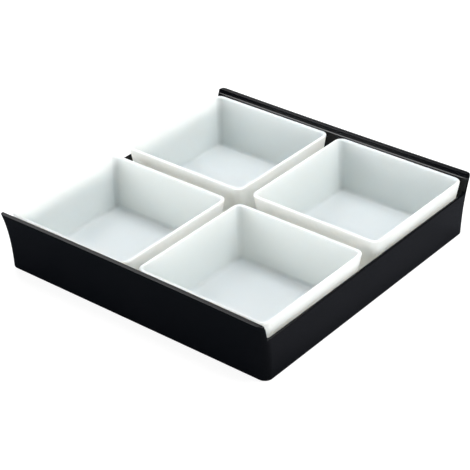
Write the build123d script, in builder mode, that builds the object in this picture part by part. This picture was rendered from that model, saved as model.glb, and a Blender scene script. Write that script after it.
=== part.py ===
from build123d import *
from math import radians, tan
import os

# Divided snack tray: a black tray with two flared grip walls, and four loose square bowls in it.
# The origin is in the middle of the tray's underside. The grip walls stand at -X and +X and the
# low walls at -Y and +Y. All sizes are in millimetres and all angles in degrees.

# Bowls: square, tapered, open at the top
bowl_side = 118.0  # across the rim
bowl_height = 45.0
bowl_wall = 2.4
bowl_floor = 2.1
bowl_draft = 7.0  # lean of the walls from upright
bowl_corner = 6.8  # radius of the upright outer corners
bowl_foot_corner = 6.0  # and of the recess in the underside
bowl_floor_fillet = 3.0
bowl_base_round = 2.0
bowl_rim_round = 0.9
bowl_foot_width = 7.0  # flat band that the bowl stands on
bowl_foot_depth = 0.5  # recess inside that band

# How the bowls stand in the tray
bowl_gap_x = 13.8  # between the rims of neighbours
bowl_gap_y = 9.9
grip_gap = 2.1  # from a rim to the grip wall beside it
low_gap = 2.4  # from a bowl to the top of the low wall beside it

# Tray floor and low walls
tray_floor = 2.2
low_wall = 2.0
low_wall_drop = 10.7  # from the bowls' rims down to the top of the low walls
low_wall_lean = 1.6
tray_foot_width = 9.0
tray_foot_depth = 0.6

# Grip walls: they lean out ever more towards the rim, and draw in at the middle of their length
grip_wall = 4.4
grip_rise = 3.0  # from the bowls' rims up to the grips' rim
grip_flare = 5.75  # how far the rim overhangs the base, at the middle
flare_power = 2.5  # how late the flare sets in
rim_waist = 1.2  # how far the rim draws in at the middle
base_waist = 0.1  # the same at the base
rim_width = 3.9  # flat top of the lip
lip_height = 3.35  # thin lip above the step that runs along inside each grip
grip_end_round = 3.0  # rim corners, seen from the side

# Edges and corners of the tray
base_corner = 6.8  # plan radius at the base
rim_corner = 5.8  # and at the rim
well_corner = 4.0
well_floor_fillet = 3.0
base_round = 1.2
low_edge_round = 0.5
rim_inner_round = 0.5
rim_outer_round = 0.4
ledge_round = 0.4

# Places and sizes that follow
bowl_rim_z = tray_floor + bowl_height
grip_height = bowl_rim_z + grip_rise
ledge_z = grip_height - lip_height
low_height = bowl_rim_z - low_wall_drop
bowl_x = (bowl_side + bowl_gap_x) / 2
bowl_y = (bowl_side + bowl_gap_y) / 2
bowl_slope = tan(radians(bowl_draft))
low_slope = tan(radians(low_wall_lean))
levels = 4  # steps between the outlines that a wall is lofted through
overrun = 6.0  # how far a cut runs past what it cuts
end_margin = 0.05  # keeps the side view's straight edges off the faces that they don't cut
level_tolerance = 0.01  # how near a face lies to a height that it is looked up by


def rise(height):
    """Share of the whole flare that the grip wall has reached at this height."""
    return (height / grip_height) ** flare_power


def low_half(height):
    """Distance from the middle to the outside of a low wall at this height."""
    return base_half_y + low_slope * height


def grip_half(height):
    """Distance from the middle to the outside of a grip wall, half way along it."""
    return base_half_x + grip_flare * rise(height)


def grip_waist(height):
    """How much further out the grip wall's ends are than its middle."""
    return base_waist + (rim_waist - base_waist) * rise(height)


base_half_x = bowl_x + bowl_side / 2 + grip_gap + grip_wall - grip_flare * rise(ledge_z)
bowl_half_at_low_wall = bowl_side / 2 - bowl_slope * low_wall_drop
base_half_y = bowl_y + bowl_half_at_low_wall + low_gap + low_wall - low_slope * low_height


def waisted_outline(height, inset, half_y, corner):
    """One level of the tray: straight across both ends, drawn in along both grips.

    The grips' curve is the same one whatever the outline's length, so that a longer outline
    and a shorter one lie on the same wall. Its bow grows with the square of the distance.
    """
    middle_x = grip_half(height) - inset
    end_x = middle_x + grip_waist(height) * (half_y / base_half_y) ** 2
    with BuildSketch(Plane.XY.offset(height)) as level:
        with BuildLine():
            ThreePointArc((end_x, -half_y), (middle_x, 0), (end_x, half_y))
            Line((end_x, half_y), (-end_x, half_y))
            ThreePointArc((-end_x, half_y), (-middle_x, 0), (-end_x, -half_y))
            Line((-end_x, -half_y), (end_x, -half_y))
        make_face()
        if corner:
            fillet(level.vertices(), corner)
    return level.sketch


def heights(low, high):
    """Evenly spaced levels from low to high."""
    return [low + (high - low) * step / levels for step in range(levels + 1)]


def tray_outline(height):
    """The tray's outside at one height."""
    corner = base_corner + (rim_corner - base_corner) * height / grip_height
    return waisted_outline(height, 0, low_half(height), corner)


def channel_outline(height, inset):
    """The space between the grip walls at one height, running out past both ends."""
    return waisted_outline(height, inset, low_half(height) + overrun, 0)


def faces_at(part, height):
    """The flat level faces of a part at one height, from -X to +X."""
    level_faces = part.faces().filter_by(Plane.XY).sort_by(Axis.X)
    return level_faces.filter_by(lambda face: abs(face.center().Z - height) < level_tolerance)


def tapered_block(side, base, corner, bottom_round):
    """A square block with leaning sides and rounded edges, as wide as side at a bowl's rim.

    Its base lies at the given height above the bowl's own.
    """
    with BuildPart() as block:
        with BuildSketch(Plane.XY.offset(base)):
            Rectangle(side, side)
        extrude(amount=bowl_height - base)
        rim_plane = Plane.XY.offset(bowl_height)
        draft(block.faces().filter_by(Plane.XY, reverse=True), rim_plane, -bowl_draft)
        fillet(block.edges().filter_by(Plane.XY, reverse=True), corner)
        fillet(faces_at(block, base)[0].edges(), bottom_round)
    return block.part


# The space between the grip walls, from the tray's floor up to the step under the lip
with BuildPart() as channel:
    loft([channel_outline(height, grip_wall) for height in heights(tray_floor, ledge_z)])

# The space between the two thin lips, with its slope carried on past the rim
with BuildPart() as mouth:
    loft([channel_outline(height, rim_width) for height in heights(ledge_z, grip_height + overrun)])

# The tray's hollow below the tops of the low walls, closed at both ends
with BuildPart() as well:
    add(channel.part)
    floor_y = low_half(tray_floor) - low_wall
    top_y = low_half(low_height) - low_wall
    with BuildSketch(Plane.YZ) as between_low_walls:
        with BuildLine():
            Polyline(
                (-floor_y, tray_floor),
                (floor_y, tray_floor),
                (top_y, low_height),
                (-top_y, low_height),
                close=True,
            )
        make_face()
    extrude(amount=grip_half(grip_height) + overrun, both=True, mode=Mode.INTERSECT)
    uprights = well.edges().filter_by(lambda edge: edge.bounding_box().size.Z > tray_floor)
    fillet(uprights, well_corner)
    fillet(faces_at(well, tray_floor)[0].edges(), well_floor_fillet)

# The space above the low walls, open at both ends
with BuildPart() as gateway:
    add(channel.part)
    split(bisect_by=Plane.XY.offset(low_height), keep=Keep.TOP)

with BuildPart() as tray:
    loft([tray_outline(height) for height in heights(0, grip_height)])
    # Seen from the side, both ends of each rim are rounded
    side_width = 2 * (low_half(grip_height) + end_margin)
    with BuildSketch(Plane.YZ) as side_view:
        with Locations((0, grip_height / 2)):
            Rectangle(side_width, grip_height)
        fillet(side_view.vertices().group_by(Axis.Y)[-1], grip_end_round)
    extrude(amount=grip_half(grip_height) + overrun, both=True, mode=Mode.INTERSECT)
    underside = faces_at(tray, 0)[0]
    fillet(underside.edges(), base_round)
    add(gateway.part, mode=Mode.SUBTRACT)
    add(mouth.part, mode=Mode.SUBTRACT)
    add(well.part, mode=Mode.SUBTRACT)
    # The tray stands on a band round its edge, with a shallow recess inside it
    with BuildSketch(Plane.XY) as foot_recess:
        RectangleRounded(
            2 * (base_half_x - tray_foot_width),
            2 * (base_half_y - tray_foot_width),
            base_corner,
        )
    extrude(amount=tray_foot_depth, mode=Mode.SUBTRACT)
    # Outer edges along the tops of the low walls
    low_tops = faces_at(tray, low_height).sort_by(Axis.Y)
    front_edge = low_tops[0].edges().sort_by(Axis.Y)[0]
    back_edge = low_tops[-1].edges().sort_by(Axis.Y)[-1]
    fillet([front_edge, back_edge], low_edge_round)
    # The step inside each grip, then the two edges of each rim
    left_ledge, right_ledge = faces_at(tray, ledge_z)
    fillet([left_ledge.edges().sort_by(Axis.X)[-1], right_ledge.edges().sort_by(Axis.X)[0]], ledge_round)
    left_rim, right_rim = faces_at(tray, grip_height)
    fillet([left_rim.edges().sort_by(Axis.X)[-1], right_rim.edges().sort_by(Axis.X)[0]], rim_inner_round)
    left_rim, right_rim = faces_at(tray, grip_height)
    fillet([left_rim.edges().sort_by(Axis.X)[0], right_rim.edges().sort_by(Axis.X)[-1]], rim_outer_round)
tray.part.label = "tray"

with BuildPart() as bowl:
    add(tapered_block(bowl_side, 0, bowl_corner, bowl_base_round))
    inner_side = bowl_side - 2 * bowl_wall
    inner_corner = bowl_corner - bowl_wall
    hollow = tapered_block(inner_side, bowl_floor, inner_corner, bowl_floor_fillet)
    add(hollow, mode=Mode.SUBTRACT)
    fillet(faces_at(bowl, bowl_height)[0].edges(), bowl_rim_round)
    base_side = bowl_side - 2 * bowl_slope * bowl_height
    with BuildSketch(Plane.XY) as bowl_foot_recess:
        recess_side = base_side - 2 * bowl_foot_width
        RectangleRounded(recess_side, recess_side, bowl_foot_corner)
    extrude(amount=bowl_foot_depth, mode=Mode.SUBTRACT)

bowl_places = {
    "bowl_front_left": (-bowl_x, -bowl_y, tray_floor),
    "bowl_front_right": (bowl_x, -bowl_y, tray_floor),
    "bowl_back_left": (-bowl_x, bowl_y, tray_floor),
    "bowl_back_right": (bowl_x, bowl_y, tray_floor),
}

os.makedirs("parts", exist_ok=True)
export_step(tray.part, "parts/tray.step")
for name, place in bowl_places.items():
    placed_bowl = bowl.part.moved(Location(place))
    placed_bowl.label = name
    export_step(placed_bowl, f"parts/{name}.step")
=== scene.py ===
import bmesh
import bpy
import numpy as np
from bpy.props import FloatProperty, FloatVectorProperty, PointerProperty
from mathutils import Matrix


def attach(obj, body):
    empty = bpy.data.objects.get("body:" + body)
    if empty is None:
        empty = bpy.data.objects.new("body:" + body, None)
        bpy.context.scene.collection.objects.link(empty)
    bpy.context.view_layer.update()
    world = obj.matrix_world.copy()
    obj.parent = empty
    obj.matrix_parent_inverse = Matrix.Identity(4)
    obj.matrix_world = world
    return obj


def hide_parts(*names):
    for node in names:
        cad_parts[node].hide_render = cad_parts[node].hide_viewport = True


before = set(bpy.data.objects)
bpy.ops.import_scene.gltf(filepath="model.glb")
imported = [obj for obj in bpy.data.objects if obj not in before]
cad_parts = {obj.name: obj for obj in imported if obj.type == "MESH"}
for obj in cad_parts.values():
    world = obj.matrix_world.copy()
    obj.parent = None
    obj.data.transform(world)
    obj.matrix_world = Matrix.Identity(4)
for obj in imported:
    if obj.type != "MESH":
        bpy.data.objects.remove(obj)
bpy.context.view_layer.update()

bl_info = {
    "name": "Divided snack tray",
    "version": (1, 0, 0),
    "blender": (4, 5, 0),
    "location": "View3D > Sidebar > Snack tray",
    "description": "Builds a black tray with two flared grip walls and four loose white bowls",
    "category": "Add Mesh",
}

MM = 0.001
BOWL_NAMES = ("bowl_front_left", "bowl_front_right", "bowl_back_left", "bowl_back_right")

# Each lamp's azimuth (from +X towards +Y) and elevation in degrees, its width in metres, and
# whether gloss sees it. The left lamp's reflection would turn the inside of the far grip wall
# grey, so that one and the top one are hidden from gloss.
LAMPS = {
    "top_lamp": (0, 82, 0.6, False),
    "right_lamp": (-60, 50, 0.6, True),
    "front_lamp": (-110, 14, 0.6, True),
    "left_lamp": (152, 14, 0.6, False),
    "back_lamp": (64, 57, 0.42, True),
}
LAMP_DISTANCE = 1.2

# The screen behind the tray: its middle's azimuth and elevation in degrees, and how fast it
# fades away from there
SCREEN_PLACE = (50, 38)
SCREEN_FADE = 45.0

WELD_DISTANCE = 2e-6  # points nearer than this, in metres, are made one
SHORTEST_EDGE = 1e-7  # edges shorter than this, in metres, are taken out


def linear_colour(code):
    """An sRGB hex colour such as "1a2b3c" as linear red, green and blue."""
    srgb = np.array([int(code[i:i + 2], 16) for i in (0, 2, 4)]) / 255
    linear = np.where(srgb <= 0.04045, srgb / 12.92, ((srgb + 0.055) / 1.055) ** 2.4)
    return tuple(linear.tolist())


# Sizes and colours that a user would change


class BowlSizes(bpy.types.PropertyGroup):
    """A square, tapered bowl with rounded corners."""

    side: FloatProperty(
        name="Side", description="Across the rim", default=0.118, unit="LENGTH"
    )
    height: FloatProperty(
        name="Height", description="From base to rim", default=0.045, unit="LENGTH"
    )
    wall: FloatProperty(
        name="Wall", description="Thickness of the sides", default=0.0024, unit="LENGTH"
    )
    floor: FloatProperty(
        name="Floor", description="Thickness of the floor", default=0.0021, unit="LENGTH"
    )
    lean: FloatProperty(
        name="Lean", description="Lean of the sides from upright", default=0.1222, subtype="ANGLE"
    )
    corner: FloatProperty(
        name="Corner", description="Plan radius of the corners", default=0.0068, unit="LENGTH"
    )
    spread_x: FloatProperty(
        name="Spread X",
        description="From the tray's middle to a bowl's, along X",
        default=0.0659,
        unit="LENGTH",
    )
    spread_y: FloatProperty(
        name="Spread Y",
        description="From the tray's middle to a bowl's, along Y",
        default=0.06395,
        unit="LENGTH",
    )


class TraySizes(bpy.types.PropertyGroup):
    """A shallow tray with two low walls and two flared grip walls."""

    height: FloatProperty(
        name="Grip height", description="To the grips' rims", default=0.0502, unit="LENGTH"
    )
    low_height: FloatProperty(
        name="Low height", description="To the low walls' tops", default=0.0365, unit="LENGTH"
    )
    ledge: FloatProperty(
        name="Step height",
        description="To the step inside the grips",
        default=0.04685,
        unit="LENGTH",
    )
    floor: FloatProperty(
        name="Floor", description="Thickness of the floor", default=0.0022, unit="LENGTH"
    )
    base_half_x: FloatProperty(
        name="Base X", description="Half the base, along X", default=0.12656, unit="LENGTH"
    )
    base_half_y: FloatProperty(
        name="Base Y", description="Half the base, along Y", default=0.12502, unit="LENGTH"
    )
    flare: FloatProperty(
        name="Flare", description="Overhang of the grips' rims", default=0.00575, unit="LENGTH"
    )
    waist: FloatProperty(
        name="Waist",
        description="How far the rims draw in at the middle",
        default=0.0012,
        unit="LENGTH",
    )
    corner: FloatProperty(
        name="Corner", description="Plan radius at the base", default=0.0068, unit="LENGTH"
    )


class Finishes(bpy.types.PropertyGroup):
    """Colours of the two mouldings."""

    tray: FloatVectorProperty(
        name="Tray",
        description="Black melamine",
        subtype="COLOR",
        size=3,
        default=linear_colour("06080b"),
    )
    tray_light: FloatVectorProperty(
        name="Tray, paler",
        description="Where the black is a little paler",
        subtype="COLOR",
        size=3,
        default=linear_colour("0a0b0e"),
    )
    bowls: FloatVectorProperty(
        name="Bowls",
        description="White melamine",
        subtype="COLOR",
        size=3,
        default=linear_colour("e2e8e6"),
    )
    bowls_warm: FloatVectorProperty(
        name="Bowls, warmer",
        description="Where the white is a little warmer",
        subtype="COLOR",
        size=3,
        default=linear_colour("e0e5e1"),
    )


class Studio(bpy.types.PropertyGroup):
    """Camera, lamps and screen."""

    azimuth: FloatProperty(
        name="Azimuth",
        description="Where the camera looks: 0 is along +Y",
        default=-0.88174,
        subtype="ANGLE",
    )
    elevation: FloatProperty(
        name="Elevation",
        description="Of the camera, above the horizon",
        default=0.55032,
        subtype="ANGLE",
    )
    roll: FloatProperty(
        name="Roll",
        description="Turn of the camera about its line of sight",
        default=-0.02117,
        subtype="ANGLE",
    )
    distance: FloatProperty(
        name="Distance", description="Camera to tray", default=1.29285, unit="LENGTH"
    )
    pan_x: FloatProperty(
        name="Pan X", description="Camera moved sideways", default=-0.00369, unit="LENGTH"
    )
    pan_y: FloatProperty(
        name="Pan Y", description="Camera moved up", default=0.01062, unit="LENGTH"
    )
    lens: FloatProperty(
        name="Lens", description="Focal length", default=126.78, unit="CAMERA"
    )
    top_lamp: FloatProperty(
        name="Top", description="Softbox overhead", default=10.1, unit="POWER"
    )
    right_lamp: FloatProperty(
        name="Right", description="Softbox at the right", default=7.8, unit="POWER"
    )
    front_lamp: FloatProperty(
        name="Front", description="Low softbox at the front", default=5.5, unit="POWER"
    )
    left_lamp: FloatProperty(
        name="Left", description="Low softbox at the left", default=12.2, unit="POWER"
    )
    back_lamp: FloatProperty(
        name="Back", description="High softbox behind the tray", default=6.0, unit="POWER"
    )
    backdrop: FloatProperty(
        name="Screen",
        description="Strength of the white screen behind the tray, which only gloss sees",
        default=2.2,
    )


# Shapes, in millimetres until the mesh is made


def rounded_line(points, radii, steps):
    """A line through points whose corners are arcs.

    Each arc touches both legs of its corner: its middle lies along their bisector at the radius
    over the sine of half the corner's angle, and the arc turns evenly from one leg to the other.
    """
    points = np.array(points, float)
    pieces = [points[:1]]
    for before, corner, after, radius in zip(points, points[1:], points[2:], radii):
        if not radius:
            pieces.append(corner[None])
            continue
        to_before = (before - corner) / np.linalg.norm(before - corner)
        to_after = (after - corner) / np.linalg.norm(after - corner)
        half_angle = np.arccos(np.clip(to_before @ to_after, -1, 1)) / 2
        bisector = (to_before + to_after) / np.linalg.norm(to_before + to_after)
        middle = corner + bisector * radius / np.sin(half_angle)
        start = corner + to_before * radius / np.tan(half_angle) - middle
        end = corner + to_after * radius / np.tan(half_angle) - middle
        turn = np.pi - 2 * half_angle
        share = np.linspace(0, 1, steps + 1)[:, None]
        arc = (np.sin((1 - share) * turn) * start + np.sin(share * turn) * end) / np.sin(turn)
        pieces.append(middle + arc)
    pieces.append(points[-1:])
    return np.concatenate(pieces)


def quarter_round(radius, steps, reverse=False):
    """Pairs of how far a rounded edge lies inside its face, and below its top.

    At each angle these are the radius times 1 less the cosine, and times 1 less the sine.
    """
    angles = np.linspace(0, np.pi / 2, steps + 1)
    pairs = [(radius * (1 - np.cos(angle)), radius * (1 - np.sin(angle))) for angle in angles]
    return pairs[::-1] if reverse else pairs


def even_shares(steps):
    """Even shares of a way, up to all of it, without its start."""
    return np.linspace(0, 1, steps + 1)[1:]


def points_at(x, y, z):
    """Points from their three coordinates, which may be arrays or single numbers."""
    return np.stack(np.broadcast_arrays(x, y, z + 0.0 * x), axis=-1)


def bowl_shape(sizes):
    """Points of a bowl as rings by columns.

    The rings follow one profile from the middle of the underside, up the leaning outside, over
    the rim and down to the middle of the floor. Each ring is a square with round corners: a
    corner column is the end of the straight part plus the radius turned through its angle. The
    radius shrinks by as much as the ring lies inside the outer wall, down to a least one.
    """
    half, height = sizes.side / 2 / MM, sizes.height / MM
    wall, floor, corner = sizes.wall / MM, sizes.floor / MM, sizes.corner / MM
    slope = np.tan(sizes.lean)
    base = half - slope * height
    foot_width, recess, recess_round = 7.0, 0.5, 0.3
    base_round, rim_round, floor_fillet = 2.0, 0.9, 3.0
    least_outside, least_inside = corner - 2, 1.7
    profile_steps, corner_steps, side_steps = 7, 12, 8

    foot = base - foot_width
    profile = rounded_line(
        [
            (0, recess),
            (foot, recess),
            (foot, 0),
            (base, 0),
            (half, height),
            (half - wall, height),
            (base + slope * floor - wall, floor),
            (0, floor),
        ],
        [recess_round, recess_round, base_round, rim_round, rim_round, floor_fillet],
        profile_steps,
    )
    reach, level = profile[:, :1], profile[:, 1:]
    inset = half - slope * (height - level) - reach
    inside = np.arange(len(profile))[:, None] > len(profile) / 2
    radius = np.maximum(corner - inset, np.where(inside, least_inside, least_outside))
    radius = np.minimum(radius, reach)

    # One quarter turn: the corner's angles, then the straight side that follows it
    angles = np.linspace(0, np.pi / 2, corner_steps + 1)
    straight = np.linspace(1, -1, side_steps + 1)[1:-1]
    along_x = np.concatenate([np.ones(len(angles)), straight])
    along_y = np.ones(len(along_x))
    turned = np.concatenate([angles, np.full(len(straight), np.pi / 2)])
    quarter_x = (reach - radius) * along_x + radius * np.cos(turned)
    quarter_y = (reach - radius) * along_y + radius * np.sin(turned)
    ring_x = np.concatenate([quarter_x, -quarter_y, -quarter_x, quarter_y], axis=1)
    ring_y = np.concatenate([quarter_y, quarter_x, -quarter_y, -quarter_x], axis=1)
    return points_at(ring_x, ring_y, level)


def tray_shape(sizes):
    """Points of the tray as rings by columns, and which faces between them to leave out.

    One quarter is worked out from the middle of a grip wall (+X), round the corner, to the middle
    of a low wall (+Y), and then reflected twice. The rings run from the middle of the underside
    up the outside, over the top and down the inside to the middle of the floor. The outside's
    distance from the middle grows with a power of the height, and with the square of the
    distance along the grip. Above the low walls the rings of the low walls' columns all lie on
    one line, so that only the grip walls stand up there.
    """
    base_x, base_y = sizes.base_half_x / MM, sizes.base_half_y / MM
    top, low, ledge = sizes.height / MM, sizes.low_height / MM, sizes.ledge / MM
    floor, flare, base_corner = sizes.floor / MM, sizes.flare / MM, sizes.corner / MM
    rim_waist, base_waist, rim_corner = sizes.waist / MM, 0.1, base_corner - 1.0
    flare_power, low_lean = 2.5, np.radians(1.6)
    bow_end = base_y - 6  # the bow along the grips grows no further than this
    foot_width, recess, recess_round, floor_margin = 9.0, 0.6, 0.25, 30.0

    # Thickness of the lip, of the grip wall below its step, and of the low wall's top
    lip, grip, low_wall = 3.9, 4.6, 2.1
    # Plan radii of the rounding at the grips' ends and of the hollow's corners
    nose, well_corner = 0.6, 4.0
    well_start, well_tip = np.radians(42), np.radians(60)
    # Radii of edges: the base, the rim's outer and inner edge, the step, the low wall's outer
    # and inner edge, the floor, and the rim's ends seen from the side
    base_round, outer_round, inner_round, ledge_round = 1.2, 0.4, 0.25, 0.1
    low_round, well_round, floor_fillet, end_round = 0.9, 0.3, 3.0, 3.0
    # The step falls by this much towards the middle of the tray. A ring of points this far above
    # it keeps the lip's face flat.
    ledge_fall, lip_foot = 0.27, 0.6

    # Columns: along the grip, round its corner to where its end's rounding starts, over that
    # rounding, on round the low wall's corner, along the low wall
    n_grip, n_corner, n_nose, n_low_corner, n_low = 28, 8, 5, 5, 14
    first_nose = n_grip + n_corner + 1
    tip_column = first_nose + n_nose
    first_low = tip_column + 1
    count = first_low + n_low_corner + 1 + n_low
    column = np.arange(count)
    # Rings up the low wall, up the grip above it, down inside the grip, and down the hollow
    low_rings, grip_rings, inner_rings, well_rings = 12, 8, 5, 7
    base_steps, edge_steps, fillet_steps = 6, 4, 7

    def share(first, steps):
        """0 up to column first, 1 from column first + steps on, and even steps between."""
        return np.clip((column - first) / steps, 0, 1)

    along, corner_share = share(0, n_grip), share(n_grip, n_corner)
    nose_share, low_corner_share = share(first_nose, n_nose), share(first_low, n_low_corner)
    across = 1 - share(first_low + n_low_corner, n_low)
    is_grip = column <= tip_column
    is_nose = is_grip & (column >= first_nose)
    has_step = column < first_nose

    def rise(z):
        """Share of the whole flare that is reached at height z."""
        return (np.maximum(z, 0) / top) ** flare_power

    def half_x(z):
        """From the middle to a grip's outside, half way along it."""
        return base_x + flare * rise(z)

    def half_y(z):
        """From the middle to a low wall's outside."""
        return base_y + np.tan(low_lean) * z

    def corner(z):
        """Plan radius of the outside's corners."""
        return base_corner + (rim_corner - base_corner) * z / top

    def bow(z, y):
        """How much further out the grip is at y than half way along it."""
        waist = base_waist + (rim_waist - base_waist) * rise(z)
        return waist * (np.minimum(y, bow_end) / base_y) ** 2

    def turned(first, second):
        """Angles round a corner that reach first at the nose's start and second at its tip."""
        to_tip = corner_share * first + nose_share * (second - first)
        return to_tip + low_corner_share * (np.pi / 2 - second)

    def nose_middle(z):
        """Middle of the rounding at a grip's end, from the middle of its corner."""
        x = corner(z) - lip + nose
        return x, np.sqrt((corner(z) - nose) ** 2 - x ** 2)

    def nose_angles(z):
        """Where the rounding starts on the corner, and its tip, as angles about its own middle."""
        x, y = nose_middle(z)
        start = np.arctan2(y, x)
        return start, (start + np.pi) / 2

    low_nose_x, low_nose_y = nose_middle(low)
    low_start, low_tip = nose_angles(low)
    tip_x, tip_y = low_nose_x + nose * np.cos(low_tip), low_nose_y + nose * np.sin(low_tip)
    outer_angle = turned(low_start, np.arctan2(tip_y, tip_x))
    well_angle = turned(well_start, well_tip)

    def ring(reach_x, reach_y, radius, z, angle, drawn_in=1.0):
        """A rounded rectangle at height z, drawn in along the grips."""
        y = along * (reach_y - radius) + radius * np.sin(angle)
        bowed = drawn_in * bow(z, along * (reach_y - radius))
        x = across * (reach_x + bowed - radius) + radius * np.cos(angle)
        return points_at(x, y, z)

    def outside(z, inset):
        """The outside below the tops of the low walls, or a line inset from it."""
        return ring(half_x(z) - inset, half_y(z) - inset, corner(z) - inset, z, outer_angle)

    def on_nose(z, inset, angle):
        """A point of the rounding at a grip's end."""
        nose_x, nose_y = nose_middle(z)
        middle_x = half_x(z) + bow(z, half_y(z)) - corner(z) + nose_x
        middle_y = half_y(z) - corner(z) + nose_y
        return (
            middle_x + (nose - inset) * np.cos(angle),
            middle_y + (nose - inset) * np.sin(angle),
        )

    def wall_outside(z, inset):
        """The grip wall's outside above the low walls, with the rounding at its ends."""
        start, tip = nose_angles(z)
        angle = turned(start, tip)
        points = ring(half_x(z) - inset, half_y(z) - inset, corner(z) - inset, z, angle)
        x, y = on_nose(z, inset, start + (tip - start) * nose_share)
        return np.where(is_nose[:, None], points_at(x, y, z), points)

    def wall_inside(z, inset, step):
        """The grip wall's inside, inset from the lip's face, or thicker by step."""
        tip = nose_angles(z)[1]
        reach = half_y(z) - low_wall - well_corner
        nose_y = nose_middle(z)[1]
        y = along * reach + corner_share * (half_y(z) - corner(z) + nose_y - reach)
        x = half_x(z) - lip + inset + bow(z, y) - np.where(has_step, step, 0.0)
        nose_points = on_nose(z, inset, np.pi + (tip - np.pi) * nose_share)
        x, y = np.where(is_nose, nose_points[0], x), np.where(is_nose, nose_points[1], y)
        return points_at(x, y, z)

    def hollow(z, inset):
        """The hollow below the tops of the low walls, or a line inset from its wall."""
        reach_x, reach_y = half_x(z) - grip - inset, half_y(z) - low_wall - inset
        return ring(reach_x, reach_y, well_corner - inset, z, well_angle)

    def crest(points):
        """Height of the rim at each point: level, and rounded down towards both ends."""
        past = np.clip(points[..., 1] - (half_y(top) - end_round), 0, end_round)
        return top - end_round + np.sqrt(end_round ** 2 - past ** 2)

    def settle(surface):
        """Height of the rim along a face that leans, found by trying the last answer again."""
        tries = 4
        z = np.full(count, top)
        for _ in range(tries):
            z = crest(surface(z))
        return z

    # Underside, base edge and the outside up to the low walls' tops
    foot_x, foot_y = base_x - foot_width, base_y - foot_width
    rings = [ring(0.0, 0.0, 0.0, recess, outer_angle, 0.0)]
    for inset, z in (
        (recess_round, recess),
        (0.0, recess - recess_round),
        (0.0, recess_round),
        (-recess_round, 0.0),
    ):
        rings.append(ring(foot_x - inset, foot_y - inset, base_corner, z, outer_angle, 0.0))
    for inset, above in quarter_round(base_round, base_steps, reverse=True):
        rings.append(outside(above, inset))
    edge = low_round * low_corner_share
    for part in even_shares(low_rings):
        rings.append(outside(base_round + (low - edge - base_round) * part, 0.0))
    for inset, below in quarter_round(edge, edge_steps)[1:]:
        rings.append(outside(low - below, inset))
    low_edge = rings[-1]

    # The grip walls above that: up the outside, over the rim, down the lip, over the step
    first_upper = len(rings)
    z_out = settle(lambda z: wall_outside(z, 0.0))
    z_in = settle(lambda z: wall_inside(z, 0.0, 0.0))
    upper = [wall_outside(np.full(count, low), 0.0)]
    for part in even_shares(grip_rings):
        upper.append(wall_outside(low + (z_out - outer_round - low) * part, 0.0))
    for inset, below in quarter_round(outer_round, edge_steps)[1:]:
        upper.append(wall_outside(z_out - below, inset))
    for inset, below in quarter_round(inner_round, edge_steps, reverse=True):
        upper.append(wall_inside(z_in - below, inset, 0.0))
    for z in (ledge + lip_foot, ledge):
        upper.append(wall_inside(np.full(count, z), 0.0, 0.0))
    for inset, below in quarter_round(ledge_round, edge_steps, reverse=True):
        z = np.full(count, ledge - ledge_fall - below)
        upper.append(wall_inside(z, 0.0, grip - lip - inset))
    below_step = ledge - ledge_fall - ledge_round
    for part in even_shares(inner_rings):
        z = np.full(count, below_step + (low - below_step) * part)
        upper.append(wall_inside(z, 0.0, grip - lip))
    rings += [np.where(is_grip[:, None], points, low_edge) for points in upper]
    last_upper = len(rings) - 1

    # Down the hollow: its edge, its leaning walls, its rounded foot and the floor
    edge = well_round * share(first_nose, first_low + n_low_corner - first_nose)
    for inset, below in quarter_round(edge, edge_steps, reverse=True):
        rings.append(hollow(low - below, -inset))
    for part in even_shares(well_rings):
        rings.append(hollow(low - edge + (floor + floor_fillet - low + edge) * part, 0.0))
    for inset, above in quarter_round(floor_fillet, fillet_steps)[1:]:
        rings.append(hollow(np.full(count, floor + above), inset))
    # The floor narrows to a short line along X, which then closes on the middle
    for margin in (floor_margin, min(base_x, base_y)):
        rings.append(ring(base_x - margin, base_y - margin, 0.0, floor, well_angle, 0.0))
    rings.append(ring(0.0, 0.0, 0.0, floor, well_angle, 0.0))

    quarter = np.stack([np.broadcast_to(points, (count, 3)) for points in rings])
    flip_x, flip_y = np.array([-1, 1, 1]), np.array([1, -1, 1])
    parts = [
        quarter,
        quarter[:, ::-1] * flip_x,
        quarter * flip_x * flip_y,
        quarter[:, ::-1] * flip_y,
    ]
    # Between a grip's tip and the low wall's first column the upper rings would fold back
    gap = np.zeros((len(rings), count), bool)
    gap[first_upper:last_upper, tip_column] = True
    backwards = np.roll(gap[:, ::-1], -1, axis=1)
    left_out = np.concatenate([gap, backwards, gap, backwards], axis=1)
    return np.concatenate(parts, axis=1), left_out


# Meshes and materials


def mesh_from_grid(name, points, left_out=None):
    """A closed mesh from rings by columns of points in millimetres.

    Each face joins two neighbouring rings and columns, and the last column joins the first.
    Points that lie together are made one.
    """
    rings, columns = points.shape[:2]
    number = np.arange(rings * columns).reshape(rings, columns)
    beside = np.roll(number, -1, axis=1)
    faces = np.stack([number[:-1], beside[:-1], beside[1:], number[1:]], axis=2)
    if left_out is not None:
        faces = faces[~left_out[:-1]]
    mesh = bpy.data.meshes.new(name)
    mesh.from_pydata((points.reshape(-1, 3) * MM).tolist(), [], faces.reshape(-1, 4).tolist())
    work = bmesh.new()
    work.from_mesh(mesh)
    bmesh.ops.remove_doubles(work, verts=work.verts, dist=WELD_DISTANCE)
    bmesh.ops.dissolve_degenerate(work, dist=SHORTEST_EDGE, edges=work.edges)
    work.to_mesh(mesh)
    work.free()
    return mesh


def shade(mesh, sharp_angle):
    """Smooth faces, with edges sharper than sharp_angle degrees kept sharp."""
    mesh.polygons.foreach_set("use_smooth", np.ones(len(mesh.polygons), bool))
    mesh.set_sharp_from_angle(angle=np.radians(sharp_angle))


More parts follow.
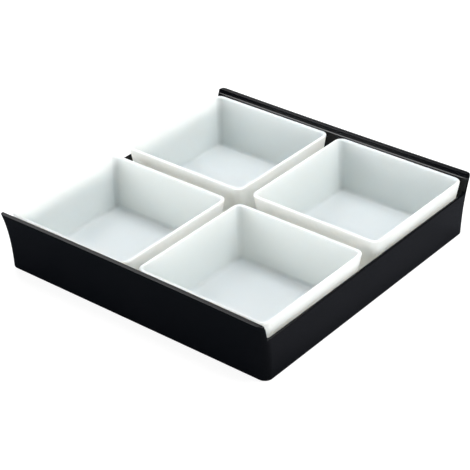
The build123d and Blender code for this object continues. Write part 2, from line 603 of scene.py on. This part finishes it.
def add_node(tree, kind, settings=None, inputs=None):
    """Adds a node with its settings, and gives its inputs a value or a link.

    An input goes by its name, or by its number where several have the same name.
    """
    node = tree.nodes.new(kind)
    for name, value in (settings or {}).items():
        setattr(node, name, value)
    for name, value in (inputs or {}).items():
        if isinstance(value, bpy.types.NodeSocket):
            tree.links.new(value, node.inputs[name])
        else:
            node.inputs[name].default_value = value
    return node


def new_material(name):
    """An empty material and its node tree."""
    material = bpy.data.materials.new(name)
    material.use_nodes = True
    material.node_tree.nodes.clear()
    return material, material.node_tree


def moulded_melamine(name, colours, cloud, grain, wave, roughness, wave_strength, shader_inputs):
    """A melamine moulding, from three noises, each given as its size in mm and its detail.

    The cloud turns one colour into the other, the grain turns one roughness into the other, and
    the wave is the height of a bump.
    """
    wave_height = 0.05 * MM
    material, tree = new_material(name)
    place = add_node(tree, "ShaderNodeTexCoord").outputs["Object"]
    cloud, grain, wave = (
        add_node(
            tree,
            "ShaderNodeTexNoise",
            inputs={"Vector": place, "Scale": 1 / (size * MM), "Detail": detail},
        ).outputs["Fac"]
        for size, detail in (cloud, grain, wave)
    )
    colour = add_node(
        tree,
        "ShaderNodeMix",
        {"data_type": "RGBA"},
        {"Factor": cloud, "A": (*colours[0], 1), "B": (*colours[1], 1)},
    )
    rough = add_node(
        tree,
        "ShaderNodeMapRange",
        inputs={"Value": grain, "To Min": roughness[0], "To Max": roughness[1]},
    )
    bump = add_node(
        tree,
        "ShaderNodeBump",
        inputs={"Strength": wave_strength, "Distance": wave_height, "Height": wave},
    )
    shader = add_node(
        tree,
        "ShaderNodeBsdfPrincipled",
        inputs={
            "Base Color": colour.outputs["Result"],
            "Roughness": rough.outputs["Result"],
            "Normal": bump.outputs["Normal"],
            **shader_inputs,
        },
    )
    add_node(tree, "ShaderNodeOutputMaterial", inputs={"Surface": shader.outputs["BSDF"]})
    return material


def moulded_melamine_black(finishes):
    """Compression-moulded melamine, pigmented black.

    A polished steel mould leaves it glossy, with a faint waviness about 12 mm across where the
    resin shrank, and fine wiping marks that soften the reflections a little. Its IOR is lower
    than melamine's 1.6, to match how little the walls reflect in the photograph.
    """
    return moulded_melamine(
        "moulded_melamine_black",
        colours=(finishes.tray, finishes.tray_light),
        cloud=(22, 3.0),
        grain=(1.6, 4.0),
        wave=(12, 1.0),
        roughness=(0.12, 0.2),
        wave_strength=0.12,
        shader_inputs={"IOR": 1.3},
    )


def moulded_melamine_white(finishes):
    """Compression-moulded melamine, pigmented white.

    It looks like glazed china: an even white with a soft gloss, a trace warmer in places, and a
    faint orange-peel waviness about 9 mm across. Light goes about 14 mm into it and comes out a
    little warmer, which lights the narrow gaps between the bowls. Its IOR, too, is lower than
    melamine's 1.6, and matched to the photograph.
    """
    return moulded_melamine(
        "moulded_melamine_white",
        colours=(finishes.bowls, finishes.bowls_warm),
        cloud=(35, 2.0),
        grain=(2.5, 3.0),
        wave=(9, 1.0),
        roughness=(0.25, 0.35),
        wave_strength=0.1,
        shader_inputs={
            "IOR": 1.45,
            "Subsurface Weight": 1.0,
            "Subsurface Radius": (1.0, 0.9, 0.82),
            "Subsurface Scale": 14 * MM,
        },
    )


def matt_white_card():
    """Matt white card for the floor: even, with no gloss of its own.

    The camera sees it brighter than it is, and its shadow still shows. Gloss sees painted shade
    on it instead: grey on the right of the tray, and a darker grey on its left that stands in for
    the floor lying in the tray's shade and keeps the near grip wall black. The two meet in a soft
    edge, from 50 mm left of the tray's nearest corner to 70 mm right of it.
    """
    to_the_right = (0.7, -0.7, 0.0)  # as the photograph's camera sees it
    painted_shade_edge = (-50 * MM, 70 * MM)
    material, tree = new_material("matt_white_card")
    path = add_node(tree, "ShaderNodeLightPath")
    card = add_node(
        tree, "ShaderNodeBsdfDiffuse", inputs={"Color": (*linear_colour("e6e6e6"), 1)}
    )

    place = add_node(tree, "ShaderNodeTexCoord").outputs["Object"]
    rightward = add_node(
        tree,
        "ShaderNodeVectorMath",
        {"operation": "DOT_PRODUCT"},
        {0: place, 1: to_the_right},
    )
    side = add_node(
        tree,
        "ShaderNodeMapRange",
        {"interpolation_type": "SMOOTHSTEP"},
        {
            "Value": rightward.outputs["Value"],
            "From Min": painted_shade_edge[0],
            "From Max": painted_shade_edge[1],
        },
    )
    # Painted shade, seen only in reflections: darker on the tray's left, where its shadow falls on
    # the floor, and paler grey on its right
    painted_shade_in_gloss = add_node(
        tree,
        "ShaderNodeMix",
        {"data_type": "RGBA"},
        {
            "Factor": side.outputs["Result"],
            "A": (*linear_colour("34373c"), 1),
            "B": (*linear_colour("707279"), 1),
        },
    )
    in_gloss = add_node(
        tree, "ShaderNodeBsdfDiffuse", inputs={"Color": painted_shade_in_gloss.outputs["Result"]}
    )

    dim = add_node(
        tree, "ShaderNodeBsdfDiffuse", inputs={"Color": (*linear_colour("909090"), 1)}
    )
    glow = add_node(
        tree, "ShaderNodeEmission", inputs={"Color": (1, 1, 1, 1), "Strength": 0.85}
    )
    in_camera = add_node(
        tree, "ShaderNodeAddShader", inputs={0: dim.outputs[0], 1: glow.outputs[0]}
    )

    unseen = add_node(
        tree,
        "ShaderNodeMixShader",
        inputs={0: path.outputs["Is Glossy Ray"], 1: card.outputs[0], 2: in_gloss.outputs[0]},
    )
    mix = add_node(
        tree,
        "ShaderNodeMixShader",
        inputs={0: path.outputs["Is Camera Ray"], 1: unseen.outputs[0], 2: in_camera.outputs[0]},
    )
    add_node(tree, "ShaderNodeOutputMaterial", inputs={"Surface": mix.outputs[0]})
    return material


# Pieces


def place_piece(mesh, material, body):
    """Puts a mesh in the scene as the piece that stands for the CAD node and rides on its body."""
    mesh.materials.append(material)
    piece = bpy.data.objects.new(mesh.name, mesh)
    bpy.context.scene.collection.objects.link(piece)
    even = piece.modifiers.new("even_shading", "WEIGHTED_NORMAL")
    even.keep_sharp = True
    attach(piece, body)
    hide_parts(body)


class SNACKTRAY_OT_tray(bpy.types.Operator):
    """Makes the black tray"""

    bl_idname = "snack_tray.tray"
    bl_label = "Make tray"

    def execute(self, context):
        """Makes the tray from the scene's sizes and colours."""
        scene = context.scene
        mesh = mesh_from_grid("tray_moulding", *tray_shape(scene.tray_sizes))
        shade(mesh, sharp_angle=32)
        place_piece(mesh, moulded_melamine_black(scene.tray_finishes), "tray")
        return {"FINISHED"}


class SNACKTRAY_OT_bowls(bpy.types.Operator):
    """Makes the four white bowls"""

    bl_idname = "snack_tray.bowls"
    bl_label = "Make bowls"

    def execute(self, context):
        """Makes one shape and stands it in its four places on the tray's floor."""
        scene = context.scene
        sizes = scene.bowl_sizes
        points = bowl_shape(sizes)
        material = moulded_melamine_white(scene.tray_finishes)
        floor = scene.tray_sizes.floor / MM
        for name in BOWL_NAMES:
            x = sizes.spread_x / MM * (1 if "right" in name else -1)
            y = sizes.spread_y / MM * (1 if "back" in name else -1)
            mesh = mesh_from_grid(f"{name}_moulding", points + np.array([x, y, floor]))
            shade(mesh, sharp_angle=40)
            place_piece(mesh, material, name)
        return {"FINISHED"}


# Stage


class SNACKTRAY_OT_stage(bpy.types.Operator):
    """Makes the floor, the lamps, the surroundings and the camera"""

    bl_idname = "snack_tray.stage"
    bl_label = "Make stage"

    def execute(self, context):
        """Makes the whole studio from the scene's settings."""
        studio = context.scene.tray_studio
        make_floor()
        make_surroundings(studio)
        for name, (azimuth, elevation, width, in_gloss) in LAMPS.items():
            make_softbox(name, azimuth, elevation, width, getattr(studio, name), in_gloss)
        make_camera(studio)
        return {"FINISHED"}


def make_floor():
    """A plain white floor that reaches 6 m each way."""
    reach = 6.0
    mesh = bpy.data.meshes.new("floor")
    corners = [(-reach, -reach, 0), (reach, -reach, 0), (reach, reach, 0), (-reach, reach, 0)]
    mesh.from_pydata(corners, [], [(0, 1, 2, 3)])
    floor = bpy.data.objects.new("floor", mesh)
    bpy.context.scene.collection.objects.link(floor)
    mesh.materials.append(matt_white_card())


def direction(azimuth, elevation):
    """A unit vector from angles in degrees. Azimuth turns from +X towards +Y."""
    azimuth, elevation = np.radians(azimuth), np.radians(elevation)
    return np.array([
        np.cos(azimuth) * np.cos(elevation),
        np.sin(azimuth) * np.cos(elevation),
        np.sin(elevation),
    ])


def make_surroundings(studio):
    """A dark studio with a white screen behind the tray, which only gloss sees.

    The screen's strength falls off with e to the power of its fade times (c - 1), where c is the
    cosine of the angle from its middle. The camera sees plain white everywhere, and no other
    light comes from the surroundings.
    """
    world = bpy.data.worlds.new("studio_with_white_backdrop")
    bpy.context.scene.world = world
    world.use_nodes = True
    tree = world.node_tree
    tree.nodes.clear()
    place = add_node(tree, "ShaderNodeTexCoord").outputs["Generated"]
    nearness = add_node(
        tree,
        "ShaderNodeVectorMath",
        {"operation": "DOT_PRODUCT"},
        {0: place, 1: direction(*SCREEN_PLACE).tolist()},
    )
    power = add_node(
        tree,
        "ShaderNodeMath",
        {"operation": "MULTIPLY_ADD"},
        {0: nearness.outputs["Value"], 1: SCREEN_FADE, 2: -SCREEN_FADE},
    )
    fade = add_node(tree, "ShaderNodeMath", {"operation": "EXPONENT"}, {0: power.outputs[0]})
    glow = add_node(
        tree,
        "ShaderNodeMath",
        {"operation": "MULTIPLY"},
        {0: fade.outputs[0], 1: studio.backdrop},
    )
    path = add_node(tree, "ShaderNodeLightPath")
    in_gloss = add_node(
        tree,
        "ShaderNodeMapRange",
        inputs={"Value": path.outputs["Is Glossy Ray"], "To Min": 0.0, "To Max": glow.outputs[0]},
    )
    strength = add_node(
        tree,
        "ShaderNodeMapRange",
        inputs={
            "Value": path.outputs["Is Camera Ray"],
            "To Min": in_gloss.outputs[0],
            "To Max": 1.0,
        },
    )
    light = add_node(
        tree,
        "ShaderNodeBackground",
        inputs={"Color": (1, 1, 1, 1), "Strength": strength.outputs["Result"]},
    )
    add_node(tree, "ShaderNodeOutputWorld", inputs={"Surface": light.outputs[0]})


def make_softbox(name, azimuth, elevation, width, power, in_gloss):
    """A square softbox in a direction from the middle of the tray's base, turned to face it."""
    light = bpy.data.lights.new(name, "AREA")
    light.size = width
    light.energy = power
    lamp = bpy.data.objects.new(name, light)
    lamp.visible_glossy = in_gloss
    bpy.context.scene.collection.objects.link(lamp)
    away = direction(azimuth, elevation)
    side = np.cross((0, 0, 1), away)
    side /= np.linalg.norm(side)
    turn = Matrix(np.stack([side, np.cross(away, side), away], axis=1).tolist()).to_4x4()
    lamp.matrix_world = Matrix.Translation((LAMP_DISTANCE * away).tolist()) @ turn


def make_camera(studio):
    """The camera of the photograph: a long lens about 1.3 m away, a little rolled."""
    azimuth, elevation, roll = studio.azimuth, studio.elevation, studio.roll
    back = np.array([
        np.sin(azimuth) * np.cos(elevation),
        -np.cos(azimuth) * np.cos(elevation),
        np.sin(elevation),
    ])
    level_right = np.array([np.cos(azimuth), np.sin(azimuth), 0.0])
    level_up = np.cross(back, level_right)
    right = level_right * np.cos(roll) + level_up * np.sin(roll)
    up = level_up * np.cos(roll) - level_right * np.sin(roll)
    place = back * studio.distance + level_right * studio.pan_x + level_up * studio.pan_y
    camera = bpy.data.cameras.new("camera")
    camera.lens = studio.lens
    camera.sensor_width = 36.0
    camera.clip_start, camera.clip_end = 0.05, 30.0
    viewer = bpy.data.objects.new("camera", camera)
    bpy.context.scene.collection.objects.link(viewer)
    turn = Matrix(np.stack([right, up, back], axis=1).tolist()).to_4x4()
    viewer.matrix_world = Matrix.Translation(place.tolist()) @ turn
    bpy.context.scene.camera = viewer
    bpy.context.scene.view_settings.view_transform = "Standard"


# Add-on


class SNACKTRAY_PT_panel(bpy.types.Panel):
    """Lists the pieces and their sizes"""

    bl_idname = "SNACKTRAY_PT_panel"
    bl_label = "Snack tray"
    bl_space_type = "VIEW_3D"
    bl_region_type = "UI"
    bl_category = "Snack tray"

    def draw(self, context):
        """Draws one box for each group of settings, with the button that uses them."""
        scene = context.scene
        for title, group, operator in (
            ("Tray", scene.tray_sizes, SNACKTRAY_OT_tray),
            ("Bowls", scene.bowl_sizes, SNACKTRAY_OT_bowls),
            ("Stage", scene.tray_studio, SNACKTRAY_OT_stage),
            ("Colours", scene.tray_finishes, None),
        ):
            box = self.layout.box()
            box.label(text=title)
            for name in group.__annotations__:
                box.prop(group, name)
            if operator:
                box.operator(operator.bl_idname)


CLASSES = (
    BowlSizes, TraySizes, Finishes, Studio,
    SNACKTRAY_OT_tray, SNACKTRAY_OT_bowls, SNACKTRAY_OT_stage, SNACKTRAY_PT_panel,
)


def register():
    """Registers the classes and gives the scene its settings."""
    for cls in CLASSES:
        bpy.utils.register_class(cls)
    bpy.types.Scene.bowl_sizes = PointerProperty(type=BowlSizes)
    bpy.types.Scene.tray_sizes = PointerProperty(type=TraySizes)
    bpy.types.Scene.tray_finishes = PointerProperty(type=Finishes)
    bpy.types.Scene.tray_studio = PointerProperty(type=Studio)


def unregister():
    """Takes away what register adds."""
    for name in ("tray_studio", "tray_finishes", "tray_sizes", "bowl_sizes"):
        delattr(bpy.types.Scene, name)
    for cls in reversed(CLASSES):
        bpy.utils.unregister_class(cls)


def main():
    """Makes the stage, the bowls and the tray."""
    register()
    bpy.ops.snack_tray.stage()
    bpy.ops.snack_tray.bowls()
    bpy.ops.snack_tray.tray()


if __name__ == "__main__":
    main()
